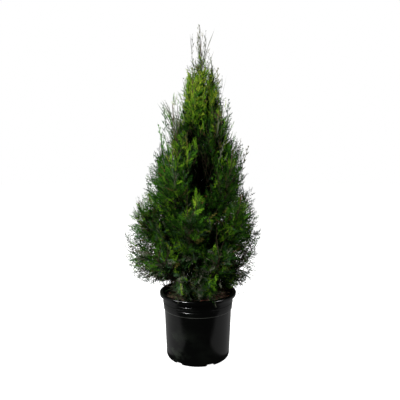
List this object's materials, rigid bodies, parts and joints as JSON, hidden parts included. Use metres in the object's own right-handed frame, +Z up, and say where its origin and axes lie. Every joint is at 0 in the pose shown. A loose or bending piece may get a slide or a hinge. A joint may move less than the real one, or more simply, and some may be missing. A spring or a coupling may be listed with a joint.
{
  "type": "potted thuja",
  "caption": "Conical evergreen shrub with flat sprays of scale leaves on upswept boughs, in a round black nursery pot with a rolled rim and a stepped band.",
  "frame": {"origin": "middle of the pot's flat underside, on the ground, under the trunk", "axes": "+Z up along the pot's axis to the plant's tip; -Y is the side the picture was taken from; +X is that side's right"},
  "size_m": [0.4861, 0.4828, 1.1951],
  "materials": {
    "pot": "satin black, moulded, lightly scuffed",
    "potting_mix": "moist bark and peat crumb",
    "bark": "fibrous red-brown bark",
    "foliage": "scale leaves in flat sprays, yellow-green at the tips and deep green inside"
  },
  "bodies": {
    "root": {"bough_broad_1": "bark", "bough_broad_2": "bark", "bough_broad_3": "bark", "bough_broad_4": "bark", "bough_broad_5": "bark", "bough_broad_6": "bark", "bough_low_1": "bark", "bough_low_2": "bark", "bough_low_3": "bark", "bough_low_4": "bark", "bough_low_5": "bark", "bough_low_6": "bark", "bough_low_7": "bark", "bough_middle_1": "bark", "bough_middle_2": "bark", "bough_middle_3": "bark", "bough_middle_4": "bark", "bough_middle_5": "bark", "foliage_broad_1": "foliage", "foliage_broad_2": "foliage", "foliage_broad_3": "foliage", "foliage_broad_4": "foliage", "foliage_broad_5": "foliage", "foliage_broad_6": "foliage", "foliage_leader": "foliage", "foliage_low_1": "foliage", "foliage_low_2": "foliage", "foliage_low_3": "foliage", "foliage_low_4": "foliage", "foliage_low_5": "foliage", "foliage_low_6": "foliage", "foliage_low_7": "foliage", "foliage_middle_1": "foliage", "foliage_middle_2": "foliage", "foliage_middle_3": "foliage", "foliage_middle_4": "foliage", "foliage_middle_5": "foliage", "foliage_skirt_1": "foliage", "foliage_skirt_2": "foliage", "foliage_skirt_3": "foliage", "foliage_skirt_4": "foliage", "foliage_skirt_5": "foliage", "foliage_spire_1": "foliage", "foliage_spire_2": "foliage", "foliage_spire_3": "foliage", "foliage_upper_1": "foliage", "foliage_upper_2": "foliage", "foliage_upper_3": "foliage", "foliage_upper_4": "foliage", "pot": "pot", "potting_mix": "potting_mix", "trunk": "bark"}
  },
  "joints": []
}
